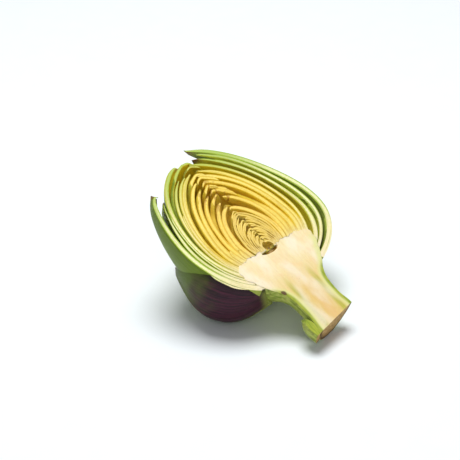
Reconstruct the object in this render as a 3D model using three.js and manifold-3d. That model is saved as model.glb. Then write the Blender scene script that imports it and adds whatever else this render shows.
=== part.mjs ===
// Half of a globe artichoke, cut lengthwise through stem and head, lying on its round back with the cut
// face up. Millimetres, +Z up, standing on z = 0. The head's axis points along +Y, the tip up a little.
//
// Every piece is first placed in the plant's own frame: X lies in the cut face, Y is the axis, counted from
// the cut end of the stem to the tip, and Z is the cut face's outward normal, so the kept half has z < 0.
// The bracts are scales on nested shells. A shell is a distance from the heart's crown for each polar angle
// from the axis, and shells are numbered from the outermost, 0, inwards. Bract k has its inner face on shell
// k and stands a golden angle on from bract k - 1, so those that lie on each other are at least two shells
// apart.

import * as THREE from "three";
import { mergeVertices } from "three/addons/utils/BufferGeometryUtils.js";
import Module from "manifold-3d";

const wasm = await Module();
wasm.setup();

// Driving dimensions
const CROWN_Y = 50; // the heart's crown, the centre of the shells, above the stem's cut end
const TIP_LEAN = -3; // how far the tips' line leaves the stem's axis, along X
const GAP = 0.3; // clear space between pieces that touch
const CLEARANCE = 0.38; // what a bract is grown by before it is taken from its neighbours
const END_RISE = 2.6; // where the stem's oblique end meets the axis
const END_SLOPE = 0.16; // its rise along X
const END_DIP = 0.1; // and along Z

// Bracts
const GOLDEN_ANGLE = 137.508;
const FIRST_AZIMUTH = 218; // of bract 0, the purple one, lowest on the stem's side
const OUTER_BRACTS = 20; // each a piece of its own
const STOUT_BRACTS = 6; // the outermost, with little or nothing over them
const BRACTS = 50; // with the inner ones
const INNER_STEP = 1.27; // shells from one inner bract to the next
const CHOKE_SCALES = 13;
const CHOKE_STEP = 2.3; // shells from one scale of the choke to the next
const CHOKE_RADIUS = 9;
const ROUND_CHOKE = 13; // how many of the last inner bracts stand round the choke
const HALF_WIDTH = 45; // azimuth from an outer bract's midline to its edge
const INNER_HALF_WIDTH = 58;
const LEAST_TURN = 14; // near the axis a bract is as wide as it is at this angle off it
const THINNEST = 0.6;
const EDGE_GROWTH = 2; // degrees by which a bract's edge moves out for each mm that it is grown
const LEAST_VOLUME = 100; // a smaller scrap of a bract fell off with the cut

// How it lies
const PITCH = 27.9; // the tip is higher than the stem
const ROLL = -1.9; // the side towards +X is a little higher
const FLAT_DEPTH = 1.2; // what is pressed flat underneath

const { degToRad, radToDeg, lerp, clamp, smoothstep } = THREE.MathUtils;

// Shells

// Radius of a few shells at 0, 45, 90 and 135 degrees from the axis, measured on the cut face.
const SHELLS = [
  { shell: -8, radii: [73, 51.4, 37.2, 27.2] },
  { shell: 0, radii: [69.5, 47.8, 33.8, 24] },
  { shell: 22, radii: [59.5, 38, 24.8, 17.5] },
  { shell: 36, radii: [48.5, 28.2, 18.4, 13] },
  { shell: 45, radii: [41, 22.2, 13.8, 10] },
  { shell: 58, radii: [25, 13.5, 8.8, 7] },
  { shell: 90, radii: [3, 3, 2.5, 2] },
];

function plainShell(shell, polar) {
  let i = 1;
  while (i < SHELLS.length - 1 && SHELLS[i].shell < shell) i++;
  const [near, far] = [SHELLS[i - 1], SHELLS[i]];
  const t = (shell - near.shell) / (far.shell - near.shell);
  const r = near.radii.map((radius, j) => lerp(radius, far.radii[j], t));
  const knots = [2 * r[0] - r[1], ...r, 2 * r[3] - r[2]];
  const j = clamp(Math.floor(polar / 45), 0, 2);
  const w = polar / 45 - j;
  const [a, b, c, d] = knots.slice(j, j + 4);
  return b + (w * (c - a + w * (2 * a - 5 * b + 4 * c - d + w * (3 * (b - c) + d - a)))) / 2;
}

const bell = (x, centre, width) => Math.exp(-(((x - centre) / width) ** 2));
const turn = (a, b) => Math.abs(((a - b + 540) % 360) - 180);

// The shells bulge a little at the belly. The outer ones stand off low on the right, where the cut shows
// dark gaps between them, high on the left, and round the purple bract underneath.
function shellRadius(shell, polar, azimuth) {
  const belly = 1.5 * bell(polar, 68, 26) * (1 - smoothstep(shell, 4, 40));
  const right = 2.6 * bell(polar, 88, 24) * bell(turn(azimuth, 0), 0, 36) * (1 - smoothstep(shell, 6, 20));
  const left = 4.5 * bell(polar, 24, 24) * bell(turn(azimuth, 180), 0, 42) * (1 - smoothstep(shell, 8, 34));
  const under = 4 * bell(polar, 98, 30) * bell(turn(azimuth, 226), 0, 38) * (1 - smoothstep(shell, 4, 20));
  return plainShell(shell, polar) + belly + right + left + under;
}

// The whole head leans a little: the tips' line is off the stem's axis.
function lean(point) {
  point.x += TIP_LEAN * smoothstep(point.y, CROWN_Y - 20, CROWN_Y + 60);
  return point;
}

// Unit vector from the crown: along is the angle from the axis on a bract's midline, across the angle off it.
function direction(azimuth, along, across) {
  const [az, al, ac] = [degToRad(azimuth), degToRad(along), degToRad(across)];
  const outward = new THREE.Vector3(Math.cos(az), 0, Math.sin(az));
  const sideways = new THREE.Vector3(-Math.sin(az), 0, Math.cos(az));
  return new THREE.Vector3(0, Math.cos(al), 0)
    .addScaledVector(outward, Math.sin(al))
    .multiplyScalar(Math.cos(ac))
    .addScaledVector(sideways, Math.sin(ac));
}

function radiusAlong(heading, shell) {
  const polar = radToDeg(Math.acos(clamp(heading.y, -1, 1)));
  const azimuth = (radToDeg(Math.atan2(heading.z, heading.x)) + 360) % 360;
  return shellRadius(shell, polar, azimuth);
}

// Bracts

// Repeatable spread from -1 to 1 for bract k.
function spread(k, salt) {
  const x = Math.sin(k * 127.1 + salt * 311.7) * 43758.5453;
  return 2 * (x - Math.floor(x)) - 1;
}

// Bracts that differ from the rule: the polar angle of the tip, and how far the blade stands off its shell
// halfway (lift) and at the tip (flare).
const SPECIAL = {
  0: { tip: 58, lift: 5.2, flare: 0.9 },
  1: { tip: 4, lift: 3.4 },
  3: { tip: 46, lift: 2.2 },
  5: { tip: 27, flare: 2.4 },
  9: { tip: 5, flare: 2.4 },
  10: { tip: 9, flare: 1.2 },
  14: { tip: 5 },
  18: { tip: 6 },
};

// The outer bracts are a shell apart, the inner ones and, past them, the scales of the choke more.
function shellOf(k) {
  const inner = clamp(k - OUTER_BRACTS, 0, BRACTS - OUTER_BRACTS);
  return Math.min(k, OUTER_BRACTS) + inner * INNER_STEP + Math.max(k - BRACTS, 0) * CHOKE_STEP;
}

// Where the midline of bract k starts and ends, as polar angles, and what is special about it. The inner
// bracts close over the axis.
function bractPlan(k) {
  const shell = shellOf(k);
  const outerness = Math.max(0, 1 - k / 19);
  const inward = clamp(shell / 40, 0, 1);
  const open = 50 * outerness ** 1.15 + 8 + 2 * spread(k, 1);
  return {
    shell,
    azimuth: FIRST_AZIMUTH + k * GOLDEN_ANGLE,
    root: lerp(136, 97, inward ** 0.7),
    tip: k < OUTER_BRACTS ? open : 2 + 6 * spread(k, 1),
    lift: 0,
    flare: 0,
    ...SPECIAL[k],
  };
}

// Share of a bract's full width at u, from 0 at its root to 1 at its pointed tip.
const outline = (u) => (1 - u ** 4) ** 0.6;

// Shells that an outer bract may fill outwards at v, from -1 to 1 across, before it meets the next one out.
function room(v) {
  const middle = lerp(2.75, 4.75, smoothstep(v, -0.2, -0.05));
  return lerp(middle, 1.8, smoothstep(v, 0.7, 0.9));
}

// Shells that bract k fills outwards at v. The inner ones are packed so tight that they merge.
function fillOf(k, v) {
  if (k >= BRACTS) return CHOKE_STEP * 1.3;
  if (k >= OUTER_BRACTS + 3) return INNER_STEP * 4.2;
  if (k >= OUTER_BRACTS) return room((v * INNER_HALF_WIDTH) / HALF_WIDTH) + shellOf(k) - k;
  return room(v) * (k < STOUT_BRACTS ? 1 + 0.8 * (1 - v * v) : 1);
}

// A bract as a closed blade with rows and columns of facets, from its inner face on its shell outwards. It
// fills what the shells leave it less slack, up to cap. With grow it is larger all round by that much.
function blade(k, { rows, columns, slack, cap, taper, grow = 0 }) {
  const { shell, azimuth, root, tip, lift, flare } = bractPlan(k);
  const crown = lean(new THREE.Vector3(0, CROWN_Y, 0));
  const inner = [];
  const outer = [];
  for (let i = 0; i <= rows; i++) {
    const u = (i / rows) ** 0.9;
    const along = lerp(root, tip, u);
    const wide = (k < OUTER_BRACTS ? HALF_WIDTH : INNER_HALF_WIDTH) * Math.max(outline(u), 0.06);
    const sine = Math.sin(degToRad(Math.max(Math.abs(along), LEAST_TURN)));
    const edge = radToDeg(Math.asin(Math.sin(degToRad(wide)) * sine)) + grow * EDGE_GROWTH;
    const halfway = smoothstep(u, 0, 0.4) * (1 - smoothstep(u, 0.5, 1));
    const standOff = lift * halfway + flare * smoothstep(u, 0.3, 1);
    for (let j = 0; j <= columns; j++) {
      const v = (2 * j) / columns - 1;
      const heading = direction(azimuth, along, edge * v);
      const base = radiusAlong(heading, shell) + standOff * (1 - v * v);
      const spare = radiusAlong(heading, shell - fillOf(k, v)) - radiusAlong(heading, shell) - slack;
      const most = cap * (1 - taper * v * v) * (1 - 0.45 * u ** 4);
      const thick = Math.max(THINNEST, Math.min(spare, most));
      inner.push(lean(heading.clone().multiplyScalar(base - grow).add(crown)));
      outer.push(lean(heading.clone().multiplyScalar(base + thick + grow).add(crown)));
    }
  }
  return closedSheet(inner, outer, rows, columns);
}

// Joins two like grids of points into one closed mesh.
function closedSheet(inner, outer, rows, columns) {
  const across = columns + 1;
  const offset = inner.length;
  const index = [];
  const quad = (a, b, c, d) => index.push(a, b, c, a, c, d);
  for (let i = 0; i < rows; i++) {
    for (let j = 0; j < columns; j++) {
      const a = i * across + j;
      quad(offset + a, offset + a + across, offset + a + across + 1, offset + a + 1);
      quad(a + 1, a + across + 1, a + across, a);
    }
    const [left, right] = [i * across, i * across + columns];
    quad(left, left + across, offset + left + across, offset + left);
    quad(offset + right, offset + right + across, right + across, right);
  }
  for (let j = 0; j < columns; j++) {
    const [foot, top] = [j, rows * across + j];
    quad(foot, offset + foot, offset + foot + 1, foot + 1);
    quad(top + 1, offset + top + 1, offset + top, top);
  }
  const geometry = new THREE.BufferGeometry().setFromPoints([...inner, ...outer]);
  geometry.setIndex(index);
  return geometry;
}

// Stem, heart and floor

const HEART_SIDE = [
  [12.8, -10], [13.2, -3], [13, 2], [12.2, 8], [11.9, 15], [12.7, 22], [15, 27],
  [18.2, 31], [21.2, 35.5], [23.8, 40], [25.3, 44], [24.3, 46.6], [21, 48],
];
const HEART_TOP = 48;
const ROUND_SIDES = 40; // facets round the heart
const FLOOR_THICK = 2;
const FLOOR_RADIUS = 24;
const CAVITY = { x: -1.6, y: 49, halfWidth: 5.4, halfHeight: 1.7 };

function lathe(points) {
  const profile = points.map(([radius, y]) => new THREE.Vector2(radius, y));
  return new THREE.LatheGeometry(profile, ROUND_SIDES);
}

function heartGeometry(extra = 0) {
  const side = new THREE.SplineCurve(HEART_SIDE.map(([r, y]) => new THREE.Vector2(r + extra, y)));
  const flank = side.getPoints(24).map((p) => [p.x, p.y]);
  return lathe([[0, HEART_SIDE[0][1]], ...flank, [0, HEART_TOP + extra]]);
}

// A ring of the heart's top skin, which the inner bracts and the choke grow from.
function floorGeometry(from, to, grow = 0) {
  const [low, high] = [HEART_TOP + GAP - grow, HEART_TOP + GAP + FLOOR_THICK + grow];
  return lathe([[from - grow, low], [to, low], [to, high], [from - grow, high], [from - grow, low]]);
}

// What is left of a bract that was broken off at the stem's end: its root is in the stem, its tip is free.
function stubGeometry() {
  const [rows, columns] = [5, 4];
  const inner = [];
  const outer = [];
  for (let i = 0; i <= rows; i++) {
    const t = i / rows;
    const halfTurn = degToRad(lerp(27, 12, t * t));
    for (let j = 0; j <= columns; j++) {
      const v = (2 * j) / columns - 1;
      const angle = degToRad(190) + halfTurn * v;
      const place = (radius, y) => new THREE.Vector3(radius * Math.cos(angle), y, radius * Math.sin(angle));
      const y = -5 + 16.4 * t - 2 * v * v * t;
      inner.push(place(10.4 + 3.4 * t, y));
      outer.push(place(14 + 3.2 * Math.sin(2.2 * t) * (1 - 0.3 * v * v), y - 0.8 * t));
    }
  }
  return closedSheet(inner, outer, rows, columns);
}

// Solids

const pose = new THREE.Matrix4()
  .makeRotationX(degToRad(PITCH))
  .multiply(new THREE.Matrix4().makeRotationY(degToRad(ROLL)));

// A closed mesh as a solid.
function manifoldOf(geometry) {
  const bare = geometry.clone();
  bare.deleteAttribute("normal");
  bare.deleteAttribute("uv");
  const merged = mergeVertices(bare, 1e-4);
  const { array } = merged.index;
  const corners = [];
  for (let i = 0; i < array.length; i += 3) {
    const [a, b, c] = array.slice(i, i + 3);
    if (a !== b && b !== c && c !== a) corners.push(a, b, c);
  }
  const vertProperties = new Float32Array(merged.attributes.position.array);
  const make = () => {
    const mesh = new wasm.Mesh({ numProp: 3, vertProperties, triVerts: new Uint32Array(corners) });
    return new wasm.Manifold(mesh);
  };
  const solid = make();
  if (solid.volume() > 0) return solid;
  corners.reverse();
  return make();
}

// A closed mesh in the plant's frame, as a solid turned to how the half lies.
const solidOf = (geometry) => manifoldOf(geometry.clone().applyMatrix4(pose));

function geometryOf(solid) {
  const mesh = solid.getMesh();
  const geometry = new THREE.BufferGeometry();
  geometry.setAttribute("position", new THREE.BufferAttribute(new Float32Array(mesh.vertProperties), 3));
  geometry.setIndex(new THREE.BufferAttribute(new Uint32Array(mesh.triVerts), 1));
  const flat = geometry.toNonIndexed();
  flat.computeVertexNormals();
  return flat;
}

// The largest body of a solid: loose scraps of the cut are dropped.
function mainBody(solid) {
  return solid.decompose().reduce((best, body) => (body.volume() > best.volume() ? body : best));
}

const union = (solids) => solids.reduce((whole, solid) => whole.add(solid));
const BLOCK = 400;
const block = (x, y, z) => new THREE.BoxGeometry(BLOCK, BLOCK, BLOCK).translate(x, y, z);
const keptHalf = solidOf(block(0, 0, -BLOCK / 2));
const slope = new THREE.Matrix4().makeShear(END_SLOPE, 0, 0, 0, 0, END_DIP);
const beyondEnd = solidOf(block(0, END_RISE - BLOCK / 2, 0).applyMatrix4(slope));

// What the lengthwise cut leaves of a solid, in one body.
const cut = (solid) => mainBody(solid.intersect(keptHalf));

const cavity = solidOf(
  new THREE.SphereGeometry(1, 16, 8)
    .scale(CAVITY.halfWidth, CAVITY.halfHeight, CAVITY.halfWidth)
    .translate(CAVITY.x, CAVITY.y, 0),
);
const wholeHeart = solidOf(heartGeometry()).add(solidOf(stubGeometry())).subtract(beyondEnd);
const clearHeart = solidOf(heartGeometry(GAP));
const heart = cut(wholeHeart.subtract(cavity));

const OUTER_SHAPE = { rows: 7, columns: 6, slack: 0.45, cap: 3.2, taper: 0.6 };
const INNER_SHAPE = { rows: 5, columns: 4, slack: 0.3, cap: 2.8, taper: 0 };
const CHOKE_SHAPE = { rows: 3, columns: 4, slack: 0, cap: 0.9, taper: 0 };

// Blades from one number to another, fused to the floor that they grow from and clear of the others.
function fuse(from, to, shape, floor, others) {
  const blades = [];
  for (let k = from; k < to; k++) {
    const fromFront = turn(bractPlan(k).azimuth % 360, 90);
    if (fromFront > 90 - INNER_HALF_WIDTH) blades.push(solidOf(blade(k, shape)).subtract(clearHeart));
  }
  const body = union([solidOf(floor), ...blades]).intersect(keptHalf).subtract(cavity);
  return mainBody(others.reduce((rest, other) => rest.subtract(other), body));
}

// A bract meets the ones that are this many numbers further out.
const NEIGHBOURS = [2, 3, 5, 8];
const clearOf = (k, shape) => solidOf(blade(k, { ...shape, grow: CLEARANCE }));
const outerBracts = [];
for (let k = 0; k < OUTER_BRACTS; k++) {
  let kept = solidOf(blade(k, OUTER_SHAPE)).intersect(keptHalf).subtract(clearHeart);
  if (kept.volume() < LEAST_VOLUME) continue;
  for (const m of NEIGHBOURS.filter((step) => step <= k)) kept = kept.subtract(clearOf(k - m, OUTER_SHAPE));
  outerBracts.push([k, mainBody(kept)]);
}
const lastOuter = [1, 2, 3, 4, 5].map((m) => clearOf(OUTER_BRACTS - m, OUTER_SHAPE));
const bractFloor = floorGeometry(CHOKE_RADIUS, FLOOR_RADIUS);
const innerBracts = fuse(OUTER_BRACTS, BRACTS, INNER_SHAPE, bractFloor, lastOuter);
const chokeFloor = floorGeometry(0, CHOKE_RADIUS - GAP);
const aroundChoke = Array.from({ length: ROUND_CHOKE }, (_, m) => clearOf(BRACTS - 1 - m, INNER_SHAPE));
aroundChoke.push(solidOf(floorGeometry(CHOKE_RADIUS, FLOOR_RADIUS, GAP)));
const choke = fuse(BRACTS, BRACTS + CHOKE_SCALES, CHOKE_SHAPE, chokeFloor, aroundChoke);

// Materials, and the part as it lies

const GREEN = { color: 0x6f8f45, roughness: 0.55, metalness: 0 };
const PURPLE = { color: 0x4a2638, roughness: 0.5, metalness: 0 };
const YELLOW = { color: 0xe6c95e, roughness: 0.6, metalness: 0 };
const CREAM = { color: 0xf0e0b8, roughness: 0.65, metalness: 0 };
const STRAW = { color: 0xdcc27a, roughness: 0.8, metalness: 0 };

const bractColour = (k) => (k === 0 ? PURPLE : GREEN);
const bractName = (k) => `outer_bract_${String(k + 1).padStart(2, "0")}`;
const pieces = [
  ["stem_and_heart", heart, CREAM],
  ["inner_bracts", innerBracts, YELLOW],
  ["choke", choke, STRAW],
  ...outerBracts.map(([k, solid]) => [bractName(k), solid, bractColour(k)]),
];

// The surface that the half lies on presses its lowest points flat.
const lowest = Math.min(...pieces.map(([, solid]) => solid.boundingBox().min[2]));
const restHeight = lowest + FLAT_DEPTH;
const below = manifoldOf(block(0, 0, restHeight - BLOCK / 2));

const part = new THREE.Group();
const box = new THREE.Box3();
for (const [name, solid, look] of pieces) {
  const geometry = geometryOf(mainBody(solid.subtract(below)));
  const mesh = new THREE.Mesh(geometry, new THREE.MeshStandardMaterial(look));
  mesh.name = name;
  part.add(mesh);
  box.expandByObject(mesh);
}
const middle = box.getCenter(new THREE.Vector3());
part.position.set(-middle.x, -middle.y, -box.min.z);

export default part;
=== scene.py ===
# Half of a globe artichoke, cut lengthwise, on a pale floor. Blender works in metres, in the row frame.
#
# The plant's own frame is in millimetres: X lies in the cut face, Y is the axis from the stem's cut end to
# the tip, and Z is the cut face's outward normal. Bracts are scales on nested shells, numbered from the
# outermost, 0, inwards, each a golden angle on from the one before.

import math

import bmesh
import bpy
import numpy as np
from mathutils import Matrix, Vector


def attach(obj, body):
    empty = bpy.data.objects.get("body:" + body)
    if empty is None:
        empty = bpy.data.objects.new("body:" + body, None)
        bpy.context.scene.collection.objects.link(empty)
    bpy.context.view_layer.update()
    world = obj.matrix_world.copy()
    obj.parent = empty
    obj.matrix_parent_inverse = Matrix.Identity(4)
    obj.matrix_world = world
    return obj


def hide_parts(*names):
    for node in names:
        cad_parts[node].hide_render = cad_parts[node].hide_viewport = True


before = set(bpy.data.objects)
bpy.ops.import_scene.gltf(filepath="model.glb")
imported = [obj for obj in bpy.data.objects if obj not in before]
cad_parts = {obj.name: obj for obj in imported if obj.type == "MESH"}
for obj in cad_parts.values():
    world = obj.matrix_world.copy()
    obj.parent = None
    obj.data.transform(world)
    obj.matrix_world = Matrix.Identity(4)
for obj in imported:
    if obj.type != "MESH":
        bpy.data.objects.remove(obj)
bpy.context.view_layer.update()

# The plant
CROWN_Y = 50.0
TIP_LEAN = -3.0
END_SLOPE = 0.16  # of the stem's cut end, across the cut face
END_DIP = 0.1  # the same, into the half
END_RISE = 2.6
GOLDEN_ANGLE = 137.508
FIRST_AZIMUTH = 218.0
OUTER_BRACTS = 20
STOUT_BRACTS = 6
BRACTS = 50
INNER_STEP = 1.27  # shells from one inner bract to the next
CHOKE_SCALES = 62
CHOKE_STEP = 0.5
HALF_WIDTH = 45.0
INNER_HALF_WIDTH = 64.0
LEAST_TURN = 14.0  # a bract is as wide near the axis as it is at this angle off it

# Thickness of bracts
OUTER_MOST = 3.4
INNER_MOST = 3.3
CHOKE_MOST = 1.6
LEAST_THICKNESS = 0.3
LOOSE_INNER = 3  # inner bracts that still keep clear of the outer ones
INNER_FILL = 4.8  # steps that the others and the scales of the choke may fill outwards
BRACT_GAP = 0.26  # left free below the next bract out
CHOKE_GAP = 0.08

# Fineness, as rows along and columns across
BRACT_GRID = (44, 26)
SCALE_GRID = (22, 16)
STUB_GRID = (26, 20)

# How it lies
PITCH = 27.9
ROLL = -1.9
PLANT_ORIGIN = (-0.928, -52.672, 11.044)  # the plant's zero in the row frame, in mm
MM = 0.001

# The photograph's view, in the plant's frame
IMAGE_RIGHT = Vector((0.693, -0.652, 0.304))
IMAGE_UP = Vector((0.40, 0.70, 0.59))
VIEW_CENTRE = Vector((-19.1, 64.4, 9.5))
VIEW_WIDTH = 225.5  # mm across the image at the head
CAMERA_DISTANCE = 800.0
HEAD_DEPTH = 26.0  # how far the head lies beyond the view's centre
SENSOR = 36.0

pose = Matrix.Rotation(math.radians(PITCH), 4, "X") @ Matrix.Rotation(math.radians(ROLL), 4, "Y")
to_row = Matrix.Scale(MM, 4) @ Matrix.Translation(PLANT_ORIGIN) @ pose


# Arithmetic on arrays

def lerp(a, b, t):
    return a + (b - a) * t


def smoothstep(x, low, high):
    t = np.clip((x - low) / (high - low), 0.0, 1.0)
    return t * t * (3.0 - 2.0 * t)


def bell(x, centre, width):
    return np.exp(-(((x - centre) / width) ** 2))


def turn(a, b):
    """The angle between two azimuths, in degrees."""
    return np.abs((a - b + 540.0) % 360.0 - 180.0)


def spread(k, salt):
    """Repeatable spread from -1 to 1 for bract k."""
    x = math.sin(k * 127.1 + salt * 311.7) * 43758.5453
    return 2.0 * (x - math.floor(x)) - 1.0


# Shells

# Radius of a few shells at 0, 45, 90 and 135 degrees from the axis. The others lie between them.
SHELLS = [
    (-8, (73, 51.4, 37.2, 27.2)),
    (0, (69.5, 47.8, 33.8, 24)),
    (22, (59.5, 38, 24.8, 17.5)),
    (36, (48.5, 28.2, 18.4, 13)),
    (45, (41, 22.2, 13.8, 10)),
    (58, (25, 13.5, 8.8, 7)),
    (90, (3, 3, 2.5, 2)),
]
SHELL_NUMBERS = [number for number, _ in SHELLS]
SHELL_RADII = np.array([radii for _, radii in SHELLS], float)


def plain_shell(shell, polar):
    """A shell's radius at an angle from the axis, on a smooth curve through its four radii."""
    r = np.stack([np.interp(shell, SHELL_NUMBERS, SHELL_RADII[:, i]) for i in range(4)])
    knots = np.concatenate([[2 * r[0] - r[1]], r, [2 * r[3] - r[2]]])
    j = np.clip(np.floor(polar / 45.0), 0, 2).astype(int)
    w = polar / 45.0 - j
    a, b, c, d = (np.take_along_axis(knots, j[None] + i, 0)[0] for i in range(4))
    return b + w * (c - a + w * (2 * a - 5 * b + 4 * c - d + w * (3 * (b - c) + d - a))) / 2


def shell_radius(shell, polar, azimuth):
    """A shell's radius with its bulges: all round, and on the right, the left and the underside."""
    shell, polar, azimuth = np.broadcast_arrays(shell, polar, azimuth)
    belly = 1.5 * bell(polar, 68, 26) * (1 - smoothstep(shell, 4, 40))
    right = 2.6 * bell(polar, 88, 24) * bell(turn(azimuth, 0), 0, 36) * (1 - smoothstep(shell, 6, 20))
    left = 4.5 * bell(polar, 24, 24) * bell(turn(azimuth, 180), 0, 42) * (1 - smoothstep(shell, 8, 34))
    under = 4.0 * bell(polar, 98, 30) * bell(turn(azimuth, 226), 0, 38) * (1 - smoothstep(shell, 4, 20))
    return plain_shell(shell, polar) + belly + right + left + under


def lean(points):
    """Bends the tip of the head to one side."""
    points[..., 0] += TIP_LEAN * smoothstep(points[..., 1], CROWN_Y - 20, CROWN_Y + 60)
    return points


def direction(azimuth, along, across):
    """Unit vectors from the crown, by the angle off the axis and the angle across from a bract's middle."""
    az, al, ac = math.radians(azimuth), np.radians(along), np.radians(across)
    outward = np.array([math.cos(az), 0, math.sin(az)])
    sideways = np.array([-math.sin(az), 0, math.cos(az)])
    axis = np.array([0.0, 1.0, 0.0])
    ahead = np.cos(al)[..., None] * axis + np.sin(al)[..., None] * outward
    return np.cos(ac)[..., None] * ahead + np.sin(ac)[..., None] * sideways


def radius_along(heading, shell):
    """A shell's radius in the directions given."""
    polar = np.degrees(np.arccos(np.clip(heading[..., 1], -1, 1)))
    azimuth = np.degrees(np.arctan2(heading[..., 2], heading[..., 0])) % 360.0
    return shell_radius(shell, polar, azimuth)


# Bracts

# Those that differ from the rule. "tip" is the angle off the axis at which one ends, "lift" stands its
# middle off the shell and "flare" its tip, "fuller" adds shells to fill and "share" scales the thickness.
SPECIAL = {
    0: {"tip": 58, "lift": 5.2, "flare": 0.9},
    1: {"tip": 4, "lift": 3.4, "flare": -1.1},
    3: {"tip": 46, "lift": 2.2},
    5: {"tip": 27, "flare": 2.4, "fuller": 3.0},
    9: {"tip": 5, "lift": 2.6, "flare": 1.6, "fuller": 2.6},
    10: {"tip": 9, "flare": 1.2},
    14: {"tip": 5},
    18: {"tip": 5, "flare": 1.8},
    21.9: {"azimuth": 188.0, "tip": 11, "share": 0.65},
    24.4: {"azimuth": 174.0, "tip": 7, "share": 0.7},
}
PACKING = (21.9, 24.4)  # numbers of the thin bracts in the widest gaps


def shell_of(k):
    """The outer bracts are a shell apart, the inner ones and the scales of the choke by their own steps."""
    inner_from = OUTER_BRACTS
    choke_from = inner_from + (BRACTS - OUTER_BRACTS) * INNER_STEP
    if k < OUTER_BRACTS:
        return k
    if k < BRACTS:
        return inner_from + (k - OUTER_BRACTS) * INNER_STEP
    return choke_from + (k - BRACTS) * CHOKE_STEP


def bract_plan(k):
    """Where bract k sits, from its root to its tip, and how it differs from its shell."""
    outerness = max(0.0, 1 - k / (OUTER_BRACTS - 1))
    inward = min(shell_of(k) / 40, 1.0)
    plan = {
        "shell": shell_of(k),
        "azimuth": FIRST_AZIMUTH + k * GOLDEN_ANGLE,
        "root": lerp(136, 97, inward ** 0.7),
        "tip": 50 * outerness ** 1.15 + 8 + 2 * spread(k, 1) if k < OUTER_BRACTS else 2 + 6 * spread(k, 1),
        "lift": 0.0,
        "flare": 0.0,
        "fuller": 0.0,
        "share": 1.0,
    }
    plan.update(SPECIAL.get(k, {}))
    return plan


def outline(k, u):
    """Share of its full width that bract k has at u. The inner ones are blunter."""
    if k < OUTER_BRACTS:
        return (1 - u ** 4) ** 0.6
    return (1 - u ** (5 if k < BRACTS else 9)) ** 0.5


def room(v):
    """Shells that an outer bract may fill outwards at v before it meets the next one out."""
    middle = lerp(2.75, 4.75, smoothstep(v, -0.2, -0.05))
    return lerp(middle, 1.8, smoothstep(v, 0.7, 0.9))


def fill_of(k, v):
    """Shells that bract k fills outwards at v. The inner ones are packed so tight that they merge."""
    if k < OUTER_BRACTS:
        return room(v) * (1 + 0.8 * (1 - v * v) if k < STOUT_BRACTS else 1) + bract_plan(k)["fuller"]
    if k < OUTER_BRACTS + LOOSE_INNER:
        return room(v * INNER_HALF_WIDTH / HALF_WIDTH) + shell_of(k) - k
    return (INNER_STEP if k < BRACTS else CHOKE_STEP) * INNER_FILL


def most_of(k, u, v):
    """The greatest thickness of bract k."""
    if k < OUTER_BRACTS:
        return OUTER_MOST * (1 - 0.55 * v * v) * (1 - 0.4 * u ** 4)
    most = INNER_MOST if k < BRACTS else CHOKE_MOST
    return bract_plan(k)["share"] * most * (1 - 0.45 * u ** 4)


def half_angle(k, u, along):
    """Half of the angle that bract k spans across at u, with a slightly uneven edge."""
    ripple = 1 + 0.012 * np.sin(9 * u + 2.3 * k) + 0.01 * np.sin(23 * u + k)
    widest = INNER_HALF_WIDTH if k >= OUTER_BRACTS else HALF_WIDTH
    wide = widest * np.maximum(outline(k, u), 0.02) * ripple
    sine = np.sin(np.radians(np.maximum(np.abs(along), LEAST_TURN)))
    return np.degrees(np.arcsin(np.sin(np.radians(wide)) * sine))


def stand_off(plan, u, v):
    """How far a bract stands off its shell."""
    lifted = plan["lift"] * smoothstep(u, 0, 0.4) * (1 - smoothstep(u, 0.5, 1))
    return (lifted + plan["flare"] * smoothstep(u, 0.3, 1)) * (1 - v * v)


def wave(k, u, v):
    """Slow waves in bract k's face, away from its root."""
    along = 0.3 * np.sin(5 * u + 1.7 * k) + 0.22 * np.sin(7 * u + 1.7 * k) * v
    return (along + 0.12 * np.sin(15 * u + 4 * v + k)) * smoothstep(u, 0.15, 0.5)


def thickness(k, u, v, heading):
    """Thickness of bract k, which fills what the next one out leaves free, up to its most."""
    shell = bract_plan(k)["shell"]
    free = radius_along(heading, shell - fill_of(k, v)) - radius_along(heading, shell)
    free = free - (BRACT_GAP if k < BRACTS else CHOKE_GAP)
    thick = np.maximum(np.minimum(free, most_of(k, u, v)), LEAST_THICKNESS)
    return thick * np.sqrt(np.clip((1 - np.abs(v)) * 9, 0.12, 1)) * np.sqrt(np.clip((1 - u) * 14, 0.15, 1))


def blade_grids(k, rows, columns):
    """A bract's inner and outer face as grids of points in the plant's frame, with u along and v across."""
    plan = bract_plan(k)
    u = (np.arange(rows + 1) / rows)[:, None] ** 0.9
    v = (2 * np.arange(columns + 1) / columns - 1)[None, :]
    v = np.sign(v) * (1 - (1 - np.abs(v)) ** 1.25)
    along = lerp(plan["root"], plan["tip"], u)
    edge = half_angle(k, u, along)
    u, v, along = np.broadcast_arrays(u, v, along)
    heading = direction(plan["azimuth"], along, edge * v)
    base = radius_along(heading, plan["shell"]) + stand_off(plan, u, v) + wave(k, u, v)
    crown = np.array([0.0, CROWN_Y, 0.0])
    inner = lean(heading * base[..., None] + crown)
    outer = lean(heading * (base + thickness(k, u, v, heading))[..., None] + crown)
    return inner, outer, u, v


# Meshes

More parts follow.
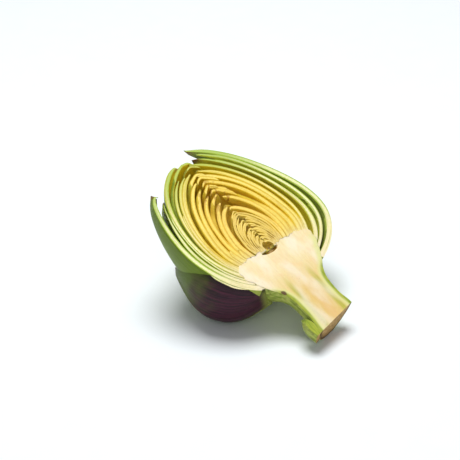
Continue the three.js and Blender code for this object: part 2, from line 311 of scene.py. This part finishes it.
class Sheet:
    """A bmesh in the plant's frame, with a bract's coordinates and rank kept at each vertex."""

    def __init__(self):
        self.bm = bmesh.new()
        self.leaf = self.bm.verts.layers.float_vector.new("leaf")
        self.rank = self.bm.verts.layers.float.new("rank")

    def grid(self, points, leaf, rank, flip=False, material=0):
        """Adds a grid of faces and returns its vertices, row by row."""
        rows, columns = points.shape[:2]
        verts = []
        for i in range(rows):
            for j in range(columns):
                vert = self.bm.verts.new(points[i, j])
                vert[self.leaf] = leaf[i, j]
                vert[self.rank] = rank
                verts.append(vert)
        for i in range(rows - 1):
            for j in range(columns - 1):
                a, b = i * columns + j, (i + 1) * columns + j
                ring = [verts[a], verts[b], verts[b + 1], verts[a + 1]]
                face = self.bm.faces.new(ring[::-1] if flip else ring)
                face.material_index = material
                face.smooth = True
        return verts

    def close_rim(self, low, high, rows, columns, smooth):
        """Joins two grids of the same size along their borders."""
        across = columns + 1
        border = [i * across for i in range(rows)] + [rows * across + j for j in range(columns)]
        border += [i * across + columns for i in range(rows, 0, -1)] + list(range(columns, 0, -1))
        for a, b in zip(border, border[1:] + border[:1]):
            self.bm.faces.new([low[a], low[b], high[b], high[a]]).smooth = smooth

    def blade(self, k, rows, columns):
        """Adds bract k. Its leaf attribute holds u, v and 0 on the inner face or 1 on the outer one."""
        inner, outer, u, v = blade_grids(k, rows, columns)
        low = self.grid(inner, np.stack([u, v, 0 * u], -1), k, flip=True)
        high = self.grid(outer, np.stack([u, v, 0 * u + 1], -1), k)
        self.close_rim(low, high, rows, columns, smooth=True)

    def slice_off(self, point, normal):
        """Removes what lies beyond a plane and returns the faces that close the cut."""
        geometry = self.bm.verts[:] + self.bm.edges[:] + self.bm.faces[:]
        made = bmesh.ops.bisect_plane(
            self.bm, geom=geometry, plane_co=point, plane_no=normal, clear_outer=True
        )
        edges = [e for e in made["geom_cut"] if isinstance(e, bmesh.types.BMEdge) and e.is_boundary]
        return bmesh.ops.holes_fill(self.bm, edges=edges, sides=0)["faces"]

    def cut(self, depth):
        """Removes what is above the cut face, lowered by depth, and closes the cut with flesh."""
        filled = self.slice_off((0, 0, -depth), (0, 0, 1))
        for face in filled:
            face.material_index = 1
            face.smooth = False
        bmesh.ops.triangulate(self.bm, faces=filled)

    def finish(self):
        bmesh.ops.recalc_face_normals(self.bm, faces=self.bm.faces[:])


def object_of(name, sheets, materials):
    """One object from several sheets, on the floor in the row frame, with its place in the plant kept."""
    mesh = bpy.data.meshes.new(name)
    whole = bmesh.new()
    for sheet in sheets:
        part = bpy.data.meshes.new("part")
        sheet.bm.to_mesh(part)
        sheet.bm.free()
        whole.from_mesh(part)
        bpy.data.meshes.remove(part)
    whole.to_mesh(mesh)
    whole.free()
    plant = mesh.attributes.new("plant", "FLOAT_VECTOR", "POINT")
    places = np.empty(len(mesh.vertices) * 3, np.float32)
    mesh.vertices.foreach_get("co", places)
    plant.data.foreach_set("vector", places)
    mesh.transform(to_row)
    # Relief on the underside doesn't reach below the floor
    for vertex in mesh.vertices:
        vertex.co.z = max(vertex.co.z, 0.0)
    for material in materials:
        mesh.materials.append(material)
    piece = bpy.data.objects.new(name, mesh)
    bpy.context.scene.collection.objects.link(piece)
    return piece


# Stem and heart

# Radius and height along the back's outline, from the stem's end to the middle of the crown
HEART_SIDE = [
    (13.2, -3), (13, 2), (12.2, 8), (11.9, 15), (12.7, 22), (15.0, 27), (18.2, 31), (21.2, 35.5),
    (23.8, 40), (25.3, 44), (24.9, 47), (22.8, 49), (18, 50.2), (9, 50.6), (0, 50.4),
]
HEART_ROWS = 150
HEART_TURNS = 73  # points round the back of the half
FACE_COLUMNS = 91
END_RINGS = 24
STEM_END_FADE = 16.0  # over this length the rows of the stem turn from oblique to level
CAVITY = (-1.6, 48.9, 5.4, 1.6)  # centre X and Y, half width and half height
CAVITY_DEPTH = 3.2
BROWN_SPOT = (-13.8, 26.5)


def catmull(points, count):
    """Points along a smooth curve through the given ones."""
    p = np.array(points, float)
    p = np.vstack([2 * p[0] - p[1], p, 2 * p[-1] - p[-2]])
    t = np.linspace(0, len(points) - 1 - 1e-9, count)
    j = t.astype(int)
    w = (t - j)[:, None]
    a, b, c, d = p[j], p[j + 1], p[j + 2], p[j + 3]
    return b + w * (c - a + w * (2 * a - 5 * b + 4 * c - d + w * (3 * (b - c) + d - a))) / 2


def oblique(points):
    """Shears the stem's end so that it is cut at a slant."""
    near_end = 1 - smoothstep(points[..., 1], 0, STEM_END_FADE)
    points[..., 1] += (END_RISE + END_SLOPE * points[..., 0] + END_DIP * points[..., 2]) * near_end
    return points


def hollow(points):
    """Depth of the hollow in the crown below the cut face. It is open towards the tip."""
    across = (points[..., 0] - CAVITY[0]) / CAVITY[2]
    below = np.minimum(points[..., 1] - CAVITY[1], 0) / CAVITY[3]
    return CAVITY_DEPTH * np.sqrt(np.clip(1 - across ** 2 - below ** 2, 0, 1))


def bumpy(points):
    """Roughens the heart's upper edge, where the bracts and the choke grow out of it."""
    x, y = points[..., 0].copy(), points[..., 1].copy()
    bumps = 0.4 * np.sin(0.8 * x + 1) + 0.25 * np.sin(1.9 * x) + 0.12 * np.sin(4.3 * x)
    points[..., 1] += bumps * smoothstep(y, 40, 49)
    beside = smoothstep(y, 34, 40) * (1 - smoothstep(y, 45, 49))
    points[..., 0] += np.sign(x) * 0.5 * np.sin(1.1 * y) * beside
    return points


def heart_sheet():
    """Stem and heart: their round back, the cut face and the cut end of the stem."""
    sheet = Sheet()
    profile = catmull(HEART_SIDE, HEART_ROWS)
    profile[:, 1] = np.maximum(profile[:, 1], 0)
    profile = profile[np.concatenate([[True], np.diff(profile[:, 1]) != 0])]
    radius, height = profile[:, :1], profile[:, 1:]
    angle = np.radians(np.linspace(180, 360, HEART_TURNS))[None, :]
    ribs = 0.16 * np.sin(13 * angle) + 0.12 * np.sin(29 * angle + 0.1 * height)
    ribs = ribs * np.sin(angle) ** 2 * (1 - smoothstep(height, 30, 42))
    lumps = 0.35 * np.sin(3 * angle + 0.21 * height) * np.sin(angle) ** 2
    r = radius + ribs + lumps * (1 - smoothstep(height, 26, 36))
    back = bumpy(oblique(np.stack([r * np.cos(angle), height + 0 * angle, r * np.sin(angle)], -1)))
    back[..., 2] = np.minimum(back[..., 2], -hollow(back))
    leaf = np.zeros(back.shape)
    leaf[..., 2] = 1
    sheet.grid(back, leaf, 0)
    # The cut face. Its leaf attribute holds the distance from the rim
    across = np.linspace(-1, 1, FACE_COLUMNS)[None, :]
    face = bumpy(oblique(np.stack([radius * across, height + 0 * across, 0 * radius * across], -1)))
    uneven = 0.05 * np.sin(1.9 * face[..., 0]) * (1 - np.abs(across)) ** 0.3
    face[..., 2] = uneven - hollow(face)
    leaf = np.zeros(face.shape)
    leaf[..., 0] = radius * (1 - np.abs(across))
    sheet.grid(face, leaf, 0, flip=True, material=1)
    # The cut end of the stem. Its leaf attribute holds the share of the radius
    share = np.linspace(0.02, 1, END_RINGS)[:, None]
    end = np.stack([r[0] * np.cos(angle) * share, 0 * angle * share, r[0] * np.sin(angle) * share], -1)
    end = oblique(end)
    leaf = np.zeros(end.shape)
    leaf[..., 0] = share
    sheet.grid(end, leaf, 0, flip=True, material=2)
    bmesh.ops.remove_doubles(sheet.bm, verts=sheet.bm.verts, dist=0.004)
    return sheet


def stub_sheet():
    """What is left of a bract that was broken off at the stem's end."""
    sheet = Sheet()
    rows, columns = STUB_GRID
    t = (np.arange(rows + 1) / rows)[:, None]
    v = np.linspace(-1, 1, columns + 1)[None, :]
    # A strip on the left of the stem's end, narrower and thinner towards its upper edge
    angle = np.radians(190) + np.radians(lerp(27, 12, t * t)) * v
    y = -5 + 16.4 * t - 2 * v * v * t
    low, high = 10.4 + 3.4 * t + 0 * v, 14 + 3.2 * np.sin(2.2 * t) * (1 - 0.3 * v * v)
    end = np.sqrt(np.clip((1 - t) * 6, 0, 1))
    middle = (low + high) / 2
    grids = []
    for radius, drop in ((lerp(middle, low, end), 0), (lerp(middle, high, end), 0.8)):
        grids.append(np.stack([radius * np.cos(angle), y - drop * t, radius * np.sin(angle)], -1))
    leaf = np.stack(np.broadcast_arrays(t * 0.8, v * 1.0, 0 * t), -1)
    inner = sheet.grid(grids[0], leaf, 1, flip=True)
    outer = sheet.grid(grids[1], leaf + np.array([0, 0, 1]), 1)
    sheet.close_rim(inner, outer, rows, columns, smooth=False)
    for face in sheet.slice_off((0, END_RISE, 0), (END_SLOPE, -1, END_DIP)):
        face.material_index = 2
    sheet.cut(0.05)
    sheet.finish()
    return sheet


# Materials

def srgb(r, g, b):
    """A colour given as it looks on a screen, 0 to 255."""
    return tuple(((c / 255 + 0.055) / 1.055) ** 2.4 if c > 10 else c / 3294 for c in (r, g, b)) + (1.0,)


class Shader:
    """A material's nodes, with short calls for the ones that repeat."""

    def __init__(self, name, roughness, specular, subsurface=0.0, subsurface_scale=0.003):
        self.material = bpy.data.materials.new(name)
        self.material.use_nodes = True
        self.tree = self.material.node_tree
        self.surface = self.tree.nodes["Principled BSDF"]
        self.surface.inputs["Roughness"].default_value = roughness
        self.surface.inputs["Specular IOR Level"].default_value = specular
        if subsurface:
            self.surface.inputs["Subsurface Weight"].default_value = subsurface
            self.surface.inputs["Subsurface Radius"].default_value = (0.9, 0.8, 0.3)
            self.surface.inputs["Subsurface Scale"].default_value = subsurface_scale

    def feed(self, socket, value):
        """Links a node's output to a socket, or sets the socket to a constant."""
        if isinstance(value, bpy.types.NodeSocket):
            self.tree.links.new(value, socket)
        else:
            socket.default_value = value

    def attribute(self, name, output="Fac"):
        made = self.tree.nodes.new("ShaderNodeAttribute")
        made.attribute_name = name
        return made.outputs[output]

    def parts(self, vector):
        made = self.tree.nodes.new("ShaderNodeSeparateXYZ")
        self.feed(made.inputs[0], vector)
        return made.outputs[0], made.outputs[1], made.outputs[2]

    def vector(self, x, y, z):
        made = self.tree.nodes.new("ShaderNodeCombineXYZ")
        for socket, value in zip(made.inputs, (x, y, z)):
            self.feed(socket, value)
        return made.outputs[0]

    def math(self, operation, a, b=0.0):
        made = self.tree.nodes.new("ShaderNodeMath")
        made.operation = operation
        self.feed(made.inputs[0], a)
        self.feed(made.inputs[1], b)
        return made.outputs[0]

    def times(self, a, b):
        return self.math("MULTIPLY", a, b)

    def sway(self, value, noise, amount):
        """Moves a value up and down by a noise."""
        return self.math("ADD", value, self.times(self.math("SUBTRACT", noise, 0.5), amount))

    def span(self, value, low, high, a=0.0, b=1.0):
        """Maps low to high onto a to b, smoothly and clamped."""
        made = self.tree.nodes.new("ShaderNodeMapRange")
        made.interpolation_type = "SMOOTHSTEP"
        for socket, number in zip(made.inputs[:5], (value, low, high, a, b)):
            self.feed(socket, number)
        return made.outputs[0]

    def noise(self, vector, scale, detail=3.0, roughness=0.55):
        made = self.tree.nodes.new("ShaderNodeTexNoise")
        self.feed(made.inputs["Vector"], vector)
        made.inputs["Scale"].default_value = scale
        made.inputs["Detail"].default_value = detail
        made.inputs["Roughness"].default_value = roughness
        return made.outputs["Fac"]

    def mix(self, share, a, b):
        made = self.tree.nodes.new("ShaderNodeMix")
        made.data_type = "RGBA"
        self.feed(made.inputs[0], share)
        self.feed(made.inputs[6], a)
        self.feed(made.inputs[7], b)
        return made.outputs[2]

    def ramp(self, value, stops):
        made = self.tree.nodes.new("ShaderNodeValToRGB")
        self.feed(made.inputs[0], value)
        elements = made.color_ramp.elements
        while len(elements) < len(stops):
            elements.new(0.5)
        for element, (place, colour) in zip(elements, stops):
            element.position = place
            element.color = colour
        return made.outputs[0]

    def finish(self, colour, height=None, depth=0.0002):
        self.feed(self.surface.inputs["Base Color"], colour)
        if height is not None:
            bump = self.tree.nodes.new("ShaderNodeBump")
            bump.inputs["Distance"].default_value = depth
            self.feed(bump.inputs["Height"], height)
            self.feed(self.surface.inputs["Normal"], bump.outputs[0])
        return self.material


def bract_coordinates(s):
    """Along, across and through a bract, its number as a share of all, and the place in the plant."""
    u, v, w = s.parts(s.attribute("leaf", "Vector"))
    rank = s.math("DIVIDE", s.attribute("rank"), BRACTS)
    return u, v, w, rank, s.attribute("plant", "Vector")


def rusted(s, colour, u, rank, place):
    """Rust-brown patches near the tips of the innermost bracts."""
    rust = s.times(s.span(u, 0.84, 0.98, 0.0, 0.7), s.span(rank, 0.62, 0.74))
    rust = s.times(rust, s.span(rank, 0.86, 1.0, 1.0, 0.0))
    rust = s.times(rust, s.span(s.noise(place, 0.3, 2.0), 0.5, 0.6))
    return s.mix(rust, colour, srgb(160, 100, 18))


def leaf_material(name, purple=False, thin=False):
    """The skin of a bract: green or yellow, paler inside, with streaks along it and a brown tip.

    Thin skins let more light through.
    """
    glow, depth = (0.4, 0.006) if thin else (0.12, 0.003)
    s = Shader(name, roughness=0.46, specular=0.22, subsurface=glow, subsurface_scale=depth)
    u, v, w, rank, place = bract_coordinates(s)
    streaks = s.noise(s.vector(s.times(v, 26.0), s.times(u, 2.6), rank), 1.0, 4.0, 0.6)
    fine = s.noise(s.vector(s.times(v, 90.0), s.times(u, 6.0), rank), 1.0, 2.0)
    blotch = s.noise(place, 0.09, 3.0)
    outside = s.ramp(rank, [
        (0.0, srgb(90, 112, 18)), (0.16, srgb(116, 142, 16)), (0.34, srgb(170, 186, 20)),
        (0.5, srgb(220, 200, 50)), (0.75, srgb(240, 196, 50)), (1.0, srgb(250, 206, 76)),
    ])
    inside = s.ramp(rank, [
        (0.0, srgb(180, 198, 84)), (0.16, srgb(206, 212, 60)), (0.34, srgb(242, 208, 44)),
        (0.55, srgb(252, 204, 30)), (0.8, srgb(254, 208, 56)), (1.0, srgb(255, 214, 84)),
    ])
    ripe = s.times(s.span(u, 0.3, 0.75), s.span(rank, 0.3, 0.75, 1.0, 0.2))
    ripe = s.times(ripe, s.span(rank, 0.2, 0.36))
    outside = s.mix(ripe, outside, srgb(140, 166, 60))
    # Painted shade: the inner faces of the outer bracts darken below the cut face, where the gaps between
    # them lie in shadow
    _, _, z = s.parts(place)
    painted_gap_shade = s.times(s.span(z, -1.0, -6.0, 0.0, 0.85), s.span(rank, 0.08, 0.3, 1.0, 0.0))
    inside = s.mix(painted_gap_shade, inside, srgb(52, 66, 26))
    colour = s.mix(w, inside, outside)
    pale_base = s.mix(s.span(u, 0.0, 0.34), srgb(198, 208, 96), colour)
    colour = s.mix(0.75, colour, pale_base)
    outerness = s.span(rank, 0.28, 0.6, 1.0, 0.2)
    streaky = s.times(s.span(streaks, 0.35, 0.7, 0.0, 0.42), outerness)
    colour = s.mix(streaky, colour, s.mix(0.5, colour, srgb(52, 78, 10)))
    colour = s.mix(s.span(fine, 0.45, 0.75, 0.0, 0.35), colour, s.mix(0.4, colour, srgb(206, 214, 84)))
    blotchy = s.times(s.span(blotch, 0.4, 0.75, 0.0, 0.45), outerness)
    colour = s.mix(blotchy, colour, s.mix(0.45, colour, srgb(80, 100, 40)))
    if purple:
        # One half of the bract, fading towards the tip, and a painted shadow line below the cut edge, where
        # the bract edges above shade it
        wavy = s.sway(v, streaks, 0.5)
        amount = s.times(s.span(wavy, 0.12, 0.34, 1.0, 0.0), s.span(u, 0.0, 0.1, 0.3, 1.0))
        fade = s.sway(u, blotch, 0.8)
        amount = s.times(amount, s.span(fade, 0.38, 1.0, 1.0, 0.0))
        dark = s.mix(s.span(streaks, 0.35, 0.65), srgb(36, 10, 26), srgb(76, 28, 48))
        colour = s.mix(s.times(amount, w), colour, dark)
        # Painted shadow: the outer face turns darker just below the cut edge
        colour = s.mix(s.times(s.span(z, -0.3, -4.5, 0.8, 0.0), w), colour, srgb(30, 14, 20))
    tip = s.times(s.span(u, 0.955, 0.995), s.span(rank, 0.3, 0.5, 1.0, 0.25))
    colour = s.mix(tip, colour, srgb(120, 84, 44))
    colour = rusted(s, colour, u, rank, place)
    height = s.math("ADD", s.times(streaks, 0.7), s.times(fine, 0.5))
    return s.finish(colour, height, 0.00035)


def flesh_material():
    """The cut edge of a bract: pale inside between green or yellow skins."""
    s = Shader("bract_flesh", roughness=0.42, specular=0.3, subsurface=0.12)
    u, _, w, rank, place = bract_coordinates(s)
    _, height, _ = s.parts(place)
    grain = s.noise(place, 0.9, 4.0)
    core = s.ramp(rank, [
        (0.0, srgb(240, 244, 180)), (0.15, srgb(246, 246, 188)), (0.34, srgb(254, 246, 182)),
        (0.55, srgb(254, 232, 124)), (0.8, srgb(252, 224, 104)), (1.0, srgb(254, 224, 118)),
    ])
    skin = s.ramp(rank, [
        (0.0, srgb(138, 174, 8)), (0.14, srgb(152, 184, 8)), (0.36, srgb(174, 194, 16)),
        (0.48, srgb(224, 192, 34)), (0.75, srgb(236, 188, 46)), (1.0, srgb(242, 198, 78)),
    ])
    lines = s.vector(s.times(w, 3.2), s.times(u, 3.0), s.attribute("rank"))
    lines = s.noise(lines, 1.0, 4.0)
    edge = s.math("ABSOLUTE", s.math("SUBTRACT", s.times(w, 2.0), 1.0))
    edge = s.sway(edge, grain, 0.5)
    colour = s.mix(s.span(edge, 0.3, 0.9), core, skin)
    green_top = s.times(s.span(height, 78, 108), s.span(rank, 0.42, 0.6, 1.0, 0.0))
    colour = s.mix(s.times(green_top, 0.75), colour, srgb(150, 186, 46))
    colour = s.mix(s.span(height, 40, 58, 1.0, 0.0), colour, srgb(250, 236, 184))
    colour = s.mix(s.span(u, 0.0, 0.14, 1.0, 0.0), colour, srgb(250, 236, 200))
    vein = s.mix(s.span(rank, 0.1, 0.4), srgb(150, 170, 40), srgb(206, 160, 30))
    colour = s.mix(s.span(lines, 0.5, 0.68, 0.0, 0.5), colour, vein)
    colour = s.mix(s.span(grain, 0.4, 0.7, 0.0, 0.2), colour, srgb(214, 190, 96))
    colour = rusted(s, colour, u, rank, place)
    return s.finish(colour, s.math("ADD", grain, lines), 0.0002)


def skin_material():
    """The outside of the stem: green with pale ribs."""
    s = Shader("stem_skin", roughness=0.5, specular=0.22)
    place = s.attribute("plant", "Vector")
    x, y, z = s.parts(place)
    ribs = s.noise(s.vector(x, s.times(y, 0.08), z), 0.75, 4.0, 0.6)
    spots = s.noise(place, 0.35, 3.0)
    colour = s.mix(s.span(ribs, 0.35, 0.65), srgb(130, 152, 48), srgb(188, 196, 96))
    colour = s.mix(s.span(spots, 0.5, 0.7, 0.0, 0.6), colour, srgb(104, 100, 44))
    colour = s.mix(s.span(y, 32, 36), colour, srgb(250, 234, 190))
    return s.finish(colour, ribs, 0.0004)


def heart_material():
    """The cut face of stem and heart: cream flesh, peach in the stem's core, yellow strands, green skin."""
    s = Shader("heart_flesh", roughness=0.42, specular=0.5, subsurface=0.15)
    place = s.attribute("plant", "Vector")
    rim, _, _ = s.parts(s.attribute("leaf", "Vector"))
    x, y, z = s.parts(place)
    fibre = s.noise(s.vector(x, s.times(y, 0.12), 0.0), 1.1, 5.0, 0.6)
    cloud = s.noise(s.vector(x, s.times(y, 0.45), 0.0), 0.11, 2.0, 0.4)
    up = s.span(y, 16, 44)
    core = s.mix(up, srgb(232, 202, 120), srgb(250, 232, 184))
    centred = s.math("ABSOLUTE", s.math("ADD", x, -0.6))
    peach = s.times(s.span(centred, 0.5, 6.0, 1.0, 0.0), s.span(y, 6, 30, 1.0, 0.3))
    colour = s.mix(s.times(peach, 0.55), core, srgb(240, 194, 134))
    strand = s.math("ABSOLUTE", s.math("SUBTRACT", s.math("ABSOLUTE", x), 7.6))
    strand = s.times(s.span(strand, 0.2, 2.6, 1.0, 0.0), s.span(y, 22, 36, 1.0, 0.0))
    colour = s.mix(s.times(strand, 0.9), colour, srgb(184, 182, 48))
    colour = s.mix(s.span(fibre, 0.4, 0.7, 0.0, 0.4), colour, srgb(232, 206, 138))
    # Pale clouds: partly the flesh's own uneven tone, partly a painted highlight standing in for the shine
    # of the wet cut face
    colour = s.mix(s.span(cloud, 0.4, 0.62, 0.0, 0.55), colour, srgb(255, 246, 226))
    blush = s.times(s.span(s.noise(place, 0.16, 3.0), 0.48, 0.66, 0.0, 0.3), s.span(y, 20, 28))
    colour = s.mix(blush, colour, srgb(248, 208, 150))
    speck = s.span(s.noise(place, 1.1, 3.0), 0.6, 0.72, 0.0, 0.4)
    speck = s.times(speck, s.span(y, 30, 42, 1.0, 0.2))
    colour = s.mix(speck, colour, srgb(206, 156, 84))
    wavy = s.sway(rim, cloud, 2.2)
    right_side = s.times(s.span(x, 5, 12), s.span(y, 40, 49, 0.85, 0.0))
    low_side = s.math("MAXIMUM", s.span(y, 26, 34, 1.0, 0.0), right_side)
    pale = s.times(s.span(wavy, 1.6, 5.0, 1.0, 0.0), low_side)
    colour = s.mix(pale, colour, srgb(228, 228, 150))
    green = s.times(s.span(wavy, 0.9, 2.6, 1.0, 0.0), s.span(y, 26, 33, 1.0, 0.0))
    colour = s.mix(green, colour, s.mix(s.span(fibre, 0.35, 0.65), srgb(128, 152, 14), srgb(180, 188, 60)))
    # A small brown spot on the stem's left side, and the hollow's floor, painted yellow-brown that darkens
    # with depth: partly its own colour, partly painted shade in the recess
    away_x = s.math("POWER", s.math("ADD", x, -BROWN_SPOT[0]), 2.0)
    away_y = s.math("POWER", s.math("ADD", y, -BROWN_SPOT[1]), 2.0)
    away = s.math("ADD", away_x, away_y)
    away = s.sway(away, fibre, 6.0)
    colour = s.mix(s.span(away, 0.6, 3.4, 0.9, 0.0), colour, srgb(84, 44, 24))
    colour = s.mix(s.span(z, -0.5, -1.5), colour, srgb(150, 112, 6))
    return s.finish(colour, fibre, 0.00025)


def end_material():
    """The dried cut end of the stem."""
    s = Shader("stem_end", roughness=0.75, specular=0.2)
    place = s.attribute("plant", "Vector")
    share, _, _ = s.parts(s.attribute("leaf", "Vector"))
    grain = s.noise(place, 0.55, 5.0, 0.65)
    colour = s.mix(s.span(grain, 0.35, 0.65), srgb(156, 118, 66), srgb(206, 172, 112))
    colour = s.mix(s.span(share, 0.78, 0.97), colour, srgb(86, 66, 40))
    return s.finish(colour, grain, 0.0006)


leaf_skin = leaf_material("bract_skin")
thin_skin = leaf_material("inner_bract_skin", thin=True)
purple_skin = leaf_material("purple_bract_skin", purple=True)
flesh = flesh_material()


# Pieces

def cut_depth(k):
    """How far the cut edge of bract k lies below the cut face, in mm."""
    return 0.22 + 0.16 * spread(k, 3) if k < BRACTS else 0.14 + 0.04 * spread(k, 3)


def kept(k):
    """Whether bract k keeps its root in the half that is left."""
    return turn(bract_plan(k)["azimuth"] % 360, 90) > 90 - INNER_HALF_WIDTH


def bract_sheet(k, rows, columns):
    """Bract k as it is after the cut."""
    sheet = Sheet()
    sheet.blade(k, rows, columns)
    sheet.cut(cut_depth(k))
    sheet.finish()
    return sheet


def place_piece(piece, node):
    """Says which body a piece rides on and which node it replaces."""
    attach(piece, "root")
    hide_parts(node)


for node in sorted(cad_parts):
    if node.startswith("outer_bract_"):
        k = int(node.split("_")[-1]) - 1
        skin = purple_skin if k == 0 else leaf_skin
        bract = object_of(f"bract_{k + 1:02d}", [bract_sheet(k, *BRACT_GRID)], [skin, flesh])
        place_piece(bract, node)

inner_numbers = [k for k in range(OUTER_BRACTS, BRACTS) if kept(k)] + list(PACKING)
inner = object_of("yellow_bracts", [bract_sheet(k, *BRACT_GRID) for k in inner_numbers], [thin_skin, flesh])
place_piece(inner, "inner_bracts")

scale_numbers = [k for k in range(BRACTS, BRACTS + CHOKE_SCALES) if kept(k)]
scales = object_of("choke_scales", [bract_sheet(k, *SCALE_GRID) for k in scale_numbers], [thin_skin, flesh])
place_piece(scales, "choke")

heart_materials = [skin_material(), heart_material(), end_material()]
heart = object_of("stem_and_heart_flesh", [heart_sheet(), stub_sheet()], heart_materials)
place_piece(heart, "stem_and_heart")


# Floor, light and camera

FLOOR_SIZE = 12.0  # m
FLOOR_DROP = 0.0002  # m, so that floor and part don't share a plane
WORLD_STRENGTH = 0.28
LIGHT_TARGET = (0, 0, 0.03)
KEY_LIGHT = {"place": (0.1, 0.16, 1.15), "size": 0.7, "power": 12.4}
FILL_LIGHT = {"place": (-0.9, -0.9, 0.9), "size": 0.9, "power": 2.5}


def floor_material():
    """Nearly white, with a faint grain."""
    s = Shader("floor", roughness=0.6, specular=0.2)
    place = s.tree.nodes.new("ShaderNodeTexCoord").outputs["Object"]
    grain = s.noise(place, 60.0, 2.0)
    return s.finish(s.mix(grain, srgb(240, 246, 250), srgb(244, 249, 252)))


def make_floor():
    """A plane under the part, as stage."""
    bpy.ops.mesh.primitive_plane_add(size=FLOOR_SIZE, location=(0, 0, -FLOOR_DROP))
    floor = bpy.context.object
    floor.name = "floor"
    floor.data.materials.append(floor_material())


def add_light(name, place, size, power):
    """A round white lamp that faces the part."""
    light = bpy.data.lights.new(name, "AREA")
    light.shape = "DISK"
    light.size = size
    light.energy = power
    lamp = bpy.data.objects.new(name, light)
    lamp.location = place
    lamp.rotation_euler = (Vector(LIGHT_TARGET) - Vector(place)).to_track_quat("-Z", "Y").to_euler()
    bpy.context.scene.collection.objects.link(lamp)


def light_studio():
    """A bright even world, one large lamp above and a weak one from the left."""
    world = bpy.data.worlds.new("studio")
    bpy.context.scene.world = world
    world.use_nodes = True
    background = world.node_tree.nodes["Background"]
    background.inputs["Color"].default_value = (1.0, 1.0, 1.0, 1.0)
    background.inputs["Strength"].default_value = WORLD_STRENGTH
    add_light("key", **KEY_LIGHT)
    add_light("fill", **FILL_LIGHT)


def make_camera():
    """Looks at the half as the photograph does."""
    turn_pose = pose.to_3x3()
    right, up = turn_pose @ IMAGE_RIGHT.normalized(), turn_pose @ IMAGE_UP.normalized()
    back = right.cross(up).normalized()
    up = back.cross(right).normalized()
    data = bpy.data.cameras.new("camera")
    data.sensor_width = SENSOR
    data.lens = SENSOR * (CAMERA_DISTANCE + HEAD_DEPTH) / VIEW_WIDTH
    data.clip_start, data.clip_end = 0.01, 50.0
    camera = bpy.data.objects.new("camera", data)
    spot = to_row @ VIEW_CENTRE + back * CAMERA_DISTANCE * MM
    camera.matrix_world = Matrix.Translation(spot) @ Matrix((right, up, back)).transposed().to_4x4()
    bpy.context.scene.collection.objects.link(camera)
    bpy.context.scene.camera = camera


make_floor()
light_studio()
make_camera()
bpy.context.scene.view_settings.view_transform = "Standard"
